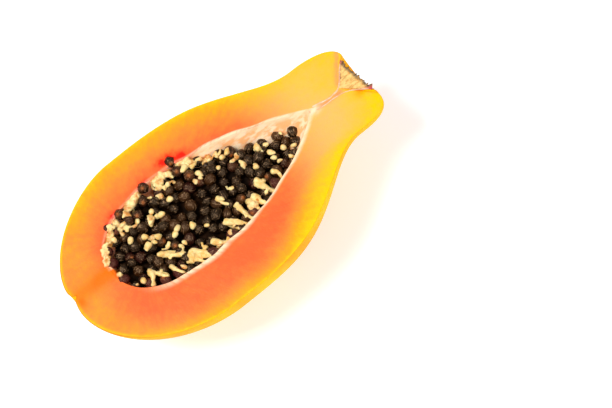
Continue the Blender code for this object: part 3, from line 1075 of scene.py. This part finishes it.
def tubes(paths, radii):
    """(points, quads, triangles) of closed tubes: rings of given radii across paths, and end poles."""
    count, rings = radii.shape
    along = np.gradient(paths, axis=1)
    along /= np.linalg.norm(along, axis=2, keepdims=True)
    side = np.cross(along, [0.0, 0.0, 1.0])
    side /= np.maximum(np.linalg.norm(side, axis=2, keepdims=True), 1e-9)
    up = np.cross(side, along)
    turn = np.arange(STRAND_SEGMENTS) * 2 * math.pi / STRAND_SEGMENTS
    ring = side[:, :, None] * np.cos(turn)[:, None] + up[:, :, None] * np.sin(turn)[:, None]
    body = paths[:, :, None] + ring * radii[:, :, None, None]
    start = paths[:, :1] - along[:, :1] * radii[:, :1, None] * TUBE_END
    end = paths[:, -1:] + along[:, -1:] * radii[:, -1:, None] * TUBE_END
    points = np.concatenate([start, body.reshape(count, -1, 3), end], 1)
    return repeated(points, *ringed(rings, STRAND_SEGMENTS))


# Thick strands, most of them at the right edge: root and tip, in lengths, and how many lie side by side.
EDGE_STRANDS = (
    ((0.622, -0.116), (0.606, -0.058), 2), ((0.584, -0.134), (0.576, -0.088), 2),
    ((0.560, -0.136), (0.548, -0.092), 2), ((0.533, -0.140), (0.520, -0.078), 3),
    ((0.506, -0.142), (0.462, -0.098), 3), ((0.449, -0.150), (0.405, -0.118), 2),
    ((0.379, -0.155), (0.332, -0.112), 3), ((0.352, -0.152), (0.322, -0.124), 2),
    ((0.320, -0.094), (0.268, -0.056), 2), ((0.290, -0.144), (0.272, -0.100), 1),
    ((0.252, -0.122), (0.226, -0.090), 2), ((0.198, -0.120), (0.214, -0.078), 2),
    ((0.500, -0.060), (0.486, -0.026), 1), ((0.652, -0.104), (0.650, -0.072), 1),
)


def strand_ends(rng, sizes):
    """(x, y) of the strands' roots and tips: the thick ones, jittered, and then the loose ones at random."""
    thick = [(*root, *tip) for root, tip, number in EDGE_STRANDS for _ in range(number)]
    thick = np.array(thick) * LENGTH
    thick = thick + rng.normal(0, 0.0007, thick.shape)
    loose = sizes.strands
    start = np.stack([rng.uniform(0.18, 0.74, loose) * LENGTH, rng.uniform(-0.8, 0.8, loose)], -1)
    to_left, to_right = (hollow_radius(side, start[:, 0]) for side in (HOLLOW_LEFT, HOLLOW_RIGHT))
    start[:, 1] *= np.where(start[:, 1] < 0, to_right, to_left)
    heading = rng.uniform(0, 2 * math.pi, loose)
    reach = sizes.strand * rng.uniform(0.25, 0.6, loose)
    end = start + reach[:, None] * np.stack([np.cos(heading), np.sin(heading)], -1)
    ends = np.concatenate([thick, np.concatenate([start, end], 1)])
    return ends[:, :2], ends[:, 2:], len(thick)


STRAND_TOP, STRAND_SINK = 0.0011, 0.005  # highest over the cut and deepest under the seeds' level, in metres
ROOT_TOP = -0.0008  # highest root of a thick strand, in metres


def make_strands(sizes, colours):
    """Pulp strands: thick ones from the right edge inwards over the seeds, and thin ones anywhere.

    Each follows a parabola through its root, a raised middle and its tip, and thickens to a knob there.
    """
    rng = np.random.default_rng(37)
    pile = seed_pile(sizes)
    root, tip, thick_ones = strand_ends(rng, sizes)
    count = len(root)
    thickness = sizes.strand_radius * np.concatenate([
        rng.uniform(0.75, 1.15, thick_ones), rng.uniform(0.45, 0.8, count - thick_ones)
    ])
    middle = (root + tip) / 2 + rng.normal(0, 0.0010, (count, 2))

    def lifted(places, size):
        """The places with the height at which a ball of this size rests on the seeds, within the limits."""
        x, y = places.T
        height = np.maximum(pile.rest(x, y, size, tight=0.86), seed_level(x, y, sizes) - STRAND_SINK)
        return np.column_stack([places, np.minimum(height, STRAND_TOP)])

    root, middle, tip = lifted(root, 0.0003), lifted(middle, 0.0008), lifted(tip, 0.001)
    root[:thick_ones, 2] = np.minimum(root[:thick_ones, 2], ROOT_TOP)
    t = np.linspace(0, 1, STRAND_RINGS)[None, :, None]
    shares = (1 - t) * (1 - 2 * t), 4 * t * (1 - t), t * (2 * t - 1)
    paths = sum(share * place[:, None] for share, place in zip(shares, (root, middle, tip)))
    swell = 0.62 + 0.5 * smooth(t[..., 0], 0.45, 0.9) - 0.25 * smooth(t[..., 0], 0.92, 1.0)
    radii = thickness[:, None] * swell * (1 + 0.13 * rng.normal(size=(count, STRAND_RINGS)))
    points, quads, triangles = tubes(paths, radii)
    points = points + 0.00030 * waves(points, 0.0026, 43)[:, None] * np.array([1, -1, 0.6])
    points[:, 2] = flattened(points[:, 2])
    paint = pulp_paint("papaya_strand", colours.ovule, colours.strand)
    melt(new_piece("pulp_strands", (points, quads, triangles), paint, "seeds"))


# Woolly pulp: (x, y) of each tuft's middle, its half length and half width, in lengths.
TUFTS = (
    (0.213, 0.082, 0.040, 0.024), (0.172, 0.066, 0.022, 0.014), (0.258, 0.106, 0.034, 0.012),
    (0.300, 0.122, 0.034, 0.010), (0.355, 0.124, 0.034, 0.010), (0.392, 0.106, 0.040, 0.022),
    (0.350, 0.090, 0.022, 0.014), (0.420, 0.118, 0.030, 0.012), (0.463, 0.058, 0.032, 0.014),
    (0.480, 0.112, 0.032, 0.012), (0.510, 0.092, 0.030, 0.012), (0.541, 0.092, 0.040, 0.020),
    (0.595, 0.026, 0.018, 0.030), (0.618, 0.060, 0.030, 0.010), (0.657, 0.008, 0.014, 0.026),
    (0.310, 0.047, 0.014, 0.024), (0.262, 0.012, 0.018, 0.018), (0.679, -0.046, 0.018, 0.016),
    (0.563, -0.108, 0.022, 0.020), (0.527, -0.122, 0.026, 0.014), (0.308, -0.134, 0.020, 0.012),
    (0.255, 0.062, 0.016, 0.012), (0.142, 0.030, 0.016, 0.014), (0.600, -0.108, 0.024, 0.010),
    (0.470, -0.134, 0.030, 0.009), (0.400, -0.140, 0.030, 0.008), (0.740, 0.012, 0.016, 0.010),
    (0.146, -0.034, 0.010, 0.020), (0.166, -0.078, 0.014, 0.012),
)
LUMPS_PER_AREA = 11000  # lumps for each square length of a tuft's box
RIM_LUMPS = 165  # lumps along the left edge, from the blossom end to where the bare wall begins


def lump_places(rng, pile, sizes):
    """(x, y, on the rim) of the lumps: at random in each tuft's slanting ellipse, and by the left edge."""
    places = []
    for x, y, long, wide in TUFTS:
        count = int(LUMPS_PER_AREA * long * wide)
        turn, out = rng.uniform(0, 2 * math.pi, count), np.sqrt(rng.uniform(0, 1, count))
        spot = np.stack([long * out * np.cos(turn), wide * out * np.sin(turn)], -1) * 0.75
        slant = np.array([0.0, -0.25 * math.copysign(1, y)])
        places.append(np.array([x, y]) + spot + spot[:, :1] * slant)
    x, y = np.concatenate(places).T * LENGTH
    rim_x = rng.uniform(0.1305, 0.49, RIM_LUMPS) * LENGTH
    rim_y = hollow_radius(HOLLOW_LEFT, rim_x) - 0.0009 - np.abs(rng.normal(0, 0.0015, RIM_LUMPS))
    inside = (y < hollow_radius(HOLLOW_LEFT, x) - 0.0008) & (y > 0.0006 - hollow_radius(HOLLOW_RIGHT, x))
    x, y = np.concatenate([x[inside], rim_x]), np.concatenate([y[inside], rim_y])
    on_rim = np.arange(len(x)) >= inside.sum()
    bare = pile.middles[: len(CUT_SEEDS)]
    clear = np.hypot(x[:, None] - bare[:, 0], y[:, None] - bare[:, 1]).min(1) > 0.6 * sizes.seed
    return x[clear], y[clear], on_rim[clear]


RIM_LOW = -0.0016  # height of the lowest lump at the rim, in metres
TUFT_SINK = 0.0042  # how far the lowest one elsewhere lies under the seeds' level, in metres
LUMP_TOP = 0.0007  # height of the highest lump before its random lift, in metres


def make_tufts(sizes, colours):
    """Woolly pulp: lumps that rest on the seeds in tufts and in a band by the left edge, grown together."""
    rng = np.random.default_rng(47)
    pile = seed_pile(sizes)
    x, y, on_rim = lump_places(rng, pile, sizes)
    radii = sizes.lump * rng.uniform(0.55, 1.35, len(x))
    lowest = np.where(on_rim, RIM_LOW, seed_level(x, y, sizes) - TUFT_SINK)
    height = np.maximum(pile.rest(x, y, sizes.lump, tight=0.8), lowest)
    height = np.minimum(height, LUMP_TOP) + rng.uniform(-0.0010, 0.0006, len(x))
    points, quads, triangles = grains(
        rng, np.stack([x, y, height], -1), radii, taper=0.0, lumps=(0.25, 1.4, 51), lying=0.5,
        spans=((0.7, 1.1), (0.6, 1.0), (0.9, 1.7)),
    )
    points[:, 2] = flattened(points[:, 2])
    paint = pulp_paint("papaya_pulp", colours.ovule, colours.pulp)
    melt(new_piece("woolly_pulp", (points, quads, triangles), paint, "seeds"))


# ---- the stem end -------------------------------------------------------------------------------

# Fibre bundles of the neck, as (x, y) in lengths, from the cavity's tip to the scar's corners.
BUNDLES = (
    ((0.836, 0.002), (0.870, -0.001), (0.905, -0.005), (0.935, -0.006), (0.955, 0.016), (0.988, 0.054)),
    ((0.836, -0.004), (0.870, -0.014), (0.905, -0.019), (0.935, -0.018), (0.965, -0.032), (1.004, -0.060)),
)


FIBRES_EACH, FIBRE_RINGS = 3, 60  # fibres of a bundle, and rings of a fibre


def make_fibres(colours):
    """Fibre bundles: tubes along a fourth-power curve near their points, half sunk in the cut, with waves."""
    rng = np.random.default_rng(57)
    step = np.linspace(0, 1, FIBRE_RINGS)
    dive = -0.0001 - 0.0009 * (1 - smooth(step, 0, 0.12))
    paths, radii = [], []
    for bundle in BUNDLES:
        knots = np.array(bundle) * LENGTH
        run = np.concatenate([[0], np.cumsum(np.hypot(*np.diff(knots, axis=0).T))])
        run /= run[-1]
        bend = np.polynomial.Polynomial.fit(run, knots[:, 1], 4)(step)
        x = np.interp(step, run, knots[:, 0])
        for _ in range(FIBRES_EACH):
            y = bend + rng.normal(0, 0.00022) + 0.00012 * waves(x[:, None], 0.012, rng.integers(1000))
            z = dive + 0.00006 * waves(x[:, None], 0.006, rng.integers(1000))
            paths.append(np.stack([x, y, z], -1))
            radii.append(rng.uniform(0.00022, 0.00038) * (1 - 0.5 * step**4))
    paint = pulp_paint("papaya_fibre", colours.fibre, colours.lining)
    new_piece("neck_fibres", tubes(np.array(paths), np.array(radii)), paint, "flesh")


SCAR_TOP, SCAR_ARC = 60, 60  # points of a row along the cut and round below it
SCAR_ROWS, SCAR_FACE_ROWS = 44, 12
POLE_DEPTH = 0.35  # of the dry face's pole under the cut, in radii


def make_scar(colours):
    """The dried stem end: a half cone on rays from its apex, with ridges along the cut and a ragged rim.

    Each row is a closed half disc that grows from the apex to the rim; further rows shrink to a pole on the
    dry face. Fibres lift the cut by waves that change fast across and slowly along.
    """
    top = np.linspace(0, 1, SCAR_TOP, endpoint=False)
    arc = np.linspace(0, math.pi, SCAR_ARC, endpoint=False)
    across = np.concatenate([1 - 2 * top, -np.cos(arc)])
    deep = np.concatenate([0 * top, np.sin(arc)])
    on_top = np.concatenate([1 + 0 * top, 0 * arc])
    grow = np.linspace(0.04, 1, SCAR_ROWS)
    shrink = np.linspace(0.93, 0.1, SCAR_FACE_ROWS)
    size = np.concatenate([grow, shrink])[:, None]
    on_face = np.concatenate([0 * grow, 1 + 0 * shrink])[:, None]
    rim = near(size, 1.0, 0.12)
    ragged = waves(np.stack([9 * across, 9 * deep], -1), 1.2, 61)

    reach = SCAR_RADIUS * LENGTH
    apex, face = SCAR_APEX * LENGTH, SCAR_FACE * LENGTH
    y = reach * size * across
    z = -reach * (size * deep + POLE_DEPTH * on_face * (1 - size))
    x = apex + (face - apex) * np.where(on_face > 0, 1.0, size) - SCAR_SLANT * y
    crumbs = waves(np.stack([y, z], -1), 0.0028, 62)
    x = x + rim * (0.0007 * ragged + 0.0004) + on_face * 0.0009 * crumbs
    fibres = waves(np.stack([x * 0.45, y], -1), 0.0024, 63)
    flat = on_top * (1 - on_face) * np.minimum(size * 2.5, 1)
    z = z + flat * (0.0004 * fibres - 0.0002) + on_top * rim * 0.0006 * ragged
    points = np.concatenate([
        [[apex - 0.0004, 0, -0.0002]],
        np.stack([x, y, z], -1).reshape(-1, 3),
        [[face, 0, -POLE_DEPTH * reach]],
    ])
    cork = np.maximum(smooth(size + 0.04 * ragged, 0.84, 0.97), on_face)
    blush = 0.75 * near(np.abs(across), 1.0, 0.13) * smooth(size, 0.55, 0.95) * (1 - on_face)
    made = new_piece(
        "stem_end", (points, *ringed(*x.shape)), scar_paint(colours), "stem_scar",
        cork=np.concatenate([[0], cork.ravel(), [1]]),
        blush=np.concatenate([[0], blush.ravel(), [0]]),
    )
    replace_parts(made, "stem_scar")


# ---- stage --------------------------------------------------------------------------------------

TILT = math.radians(22)  # between the camera's line of sight and the cut face's normal
ROLL = math.radians(38.5)  # by which the fruit's axis rises to the right in the picture
LENS = 100.0  # in millimetres, on a sensor 36 mm wide
SENSOR = 36.0
VIEW_WIDTH = 1.676  # of the picture at the cut, in lengths
AIM = (0.6690, -0.2125)  # the point of the cut's plane that the camera faces, in lengths

FLOOR_HALF = 8.0  # in metres
FLOOR_GLOW, FLOOR_GLOW_COLOUR = 0.26, (0.9, 0.97, 1.1, 1)
SKY_STRENGTH = 0.46
# Lights: name, place and size in metres, watts and colour.
LIGHTS = (
    ("key", (-0.40, 0.15, 1.25), 0.45, 12.4, (1.0, 0.985, 0.96)),
    ("fill", (0.35, -1.0, 0.8), 1.0, 6.5, (1.0, 0.99, 0.98)),
)


def make_camera():
    """The camera, turned about its line of sight so that the fruit lies aslant."""
    toward = Vector((0, -math.sin(TILT), math.cos(TILT)))
    along, over = Vector((1, 0, 0)), Vector((0, math.cos(TILT), math.sin(TILT)))
    right = along * math.cos(ROLL) - over * math.sin(ROLL)
    up = along * math.sin(ROLL) + over * math.cos(ROLL)
    aim = Vector(TIP) + Vector((AIM[0], AIM[1], 0)) * LENGTH
    data = bpy.data.cameras.new("camera")
    data.lens, data.sensor_width = LENS, SENSOR
    data.clip_start, data.clip_end = 0.01, 20
    made = new_object("camera", data)
    turn = Matrix((right, up, toward)).transposed().to_4x4()
    made.matrix_world = Matrix.Translation(aim + toward * VIEW_WIDTH * LENGTH * LENS / SENSOR) @ turn
    bpy.context.scene.camera = made


def make_light(name, place, size, watts, colour):
    """A square soft light that faces the fruit."""
    data = bpy.data.lights.new(name, "AREA")
    data.shape, data.size, data.energy, data.color = "SQUARE", size, watts, colour
    made = new_object(name, data)
    made.location = place
    made.rotation_euler = (-Vector(place)).to_track_quat("-Z", "Y").to_euler()


def make_floor(colours):
    """A large white square under the fruit, which glows a little so that it stays bright in the shade."""
    mesh = bpy.data.meshes.new("floor")
    corners = ((-1, -1), (1, -1), (1, 1), (-1, 1))
    mesh.from_pydata([(x * FLOOR_HALF, y * FLOOR_HALF, 0) for x, y in corners], [], [range(4)])
    paint = Paint("floor", roughness=0.9, specular=0.1)
    paint.set("Base Color", (*colours.floor, 1))
    paint.set("Emission Color", FLOOR_GLOW_COLOUR)
    paint.set("Emission Strength", FLOOR_GLOW)
    mesh.materials.append(paint.material)
    new_object("floor", mesh)


def make_stage(colours):
    """Floor, world, lights and camera."""
    make_floor(colours)
    world = bpy.data.worlds.new("world")
    world.use_nodes = True
    background = world.node_tree.nodes["Background"]
    background.inputs["Color"].default_value = (1, 1, 1, 1)
    background.inputs["Strength"].default_value = SKY_STRENGTH
    bpy.context.scene.world = world
    for light in LIGHTS:
        make_light(*light)
    bpy.context.scene.view_settings.view_transform = "Standard"
    make_camera()


# ---- add-on -------------------------------------------------------------------------------------


class PAPAYA_OT_flesh(bpy.types.Operator):
    """Make the flesh and the skin"""

    bl_idname = "papaya.flesh"
    bl_label = "Flesh and skin"

    def execute(self, context):
        make_flesh(context.scene.papaya_sizes, context.scene.papaya_colours)
        return {"FINISHED"}


class PAPAYA_OT_core(bpy.types.Operator):
    """Make the solid core of the seed heap"""

    bl_idname = "papaya.core"
    bl_label = "Seed core"

    def execute(self, context):
        make_core(context.scene.papaya_sizes, context.scene.papaya_colours)
        return {"FINISHED"}


class PAPAYA_OT_seeds(bpy.types.Operator):
    """Drop the ripe seeds on the core"""

    bl_idname = "papaya.seeds"
    bl_label = "Ripe seeds"

    def execute(self, context):
        make_seeds(context.scene.papaya_sizes, context.scene.papaya_colours)
        return {"FINISHED"}


class PAPAYA_OT_ovules(bpy.types.Operator):
    """Scatter the pale undeveloped seeds"""

    bl_idname = "papaya.ovules"
    bl_label = "Undeveloped seeds"

    def execute(self, context):
        make_ovules(context.scene.papaya_sizes, context.scene.papaya_colours)
        return {"FINISHED"}


class PAPAYA_OT_strands(bpy.types.Operator):
    """Lay the pulp strands over the seeds"""

    bl_idname = "papaya.strands"
    bl_label = "Pulp strands"

    def execute(self, context):
        make_strands(context.scene.papaya_sizes, context.scene.papaya_colours)
        return {"FINISHED"}


class PAPAYA_OT_tufts(bpy.types.Operator):
    """Put the woolly pulp on the seeds and by the wall"""

    bl_idname = "papaya.tufts"
    bl_label = "Woolly pulp"

    def execute(self, context):
        make_tufts(context.scene.papaya_sizes, context.scene.papaya_colours)
        return {"FINISHED"}


class PAPAYA_OT_fibres(bpy.types.Operator):
    """Lay the fibre bundles in the neck"""

    bl_idname = "papaya.fibres"
    bl_label = "Neck fibres"

    def execute(self, context):
        make_fibres(context.scene.papaya_colours)
        return {"FINISHED"}


class PAPAYA_OT_scar(bpy.types.Operator):
    """Make the dried stem end"""

    bl_idname = "papaya.scar"
    bl_label = "Stem end"

    def execute(self, context):
        make_scar(context.scene.papaya_colours)
        return {"FINISHED"}


class PAPAYA_OT_stage(bpy.types.Operator):
    """Make the floor, lights and camera"""

    bl_idname = "papaya.stage"
    bl_label = "Stage"

    def execute(self, context):
        make_stage(context.scene.papaya_colours)
        return {"FINISHED"}


OPERATORS = (
    PAPAYA_OT_flesh, PAPAYA_OT_core, PAPAYA_OT_seeds, PAPAYA_OT_ovules, PAPAYA_OT_strands,
    PAPAYA_OT_tufts, PAPAYA_OT_fibres, PAPAYA_OT_scar, PAPAYA_OT_stage,
)


class PAPAYA_PT_panel(bpy.types.Panel):
    """Sizes, colours and the steps in order"""

    bl_label = "Papaya half"
    bl_space_type = "VIEW_3D"
    bl_region_type = "UI"
    bl_category = "Papaya"

    def draw(self, context):
        for operator in OPERATORS:
            self.layout.operator(operator.bl_idname)
        for group in (context.scene.papaya_sizes, context.scene.papaya_colours):
            box = self.layout.box()
            for key in group.__annotations__:
                box.prop(group, key)


CLASSES = (PapayaSizes, PapayaColours, *OPERATORS, PAPAYA_PT_panel)


def register():
    """Add the classes, and the sizes and colours to the scene."""
    for cls in CLASSES:
        bpy.utils.register_class(cls)
    bpy.types.Scene.papaya_sizes = PointerProperty(type=PapayaSizes)
    bpy.types.Scene.papaya_colours = PointerProperty(type=PapayaColours)


def unregister():
    """Take them away again."""
    del bpy.types.Scene.papaya_sizes, bpy.types.Scene.papaya_colours
    for cls in reversed(CLASSES):
        bpy.utils.unregister_class(cls)


def main():
    """Make every piece and the stage."""
    register()
    bpy.ops.papaya.flesh()
    bpy.ops.papaya.core()
    bpy.ops.papaya.seeds()
    bpy.ops.papaya.ovules()
    bpy.ops.papaya.strands()
    bpy.ops.papaya.tufts()
    bpy.ops.papaya.fibres()
    bpy.ops.papaya.scar()
    bpy.ops.papaya.stage()


if __name__ == "__main__":
    main()
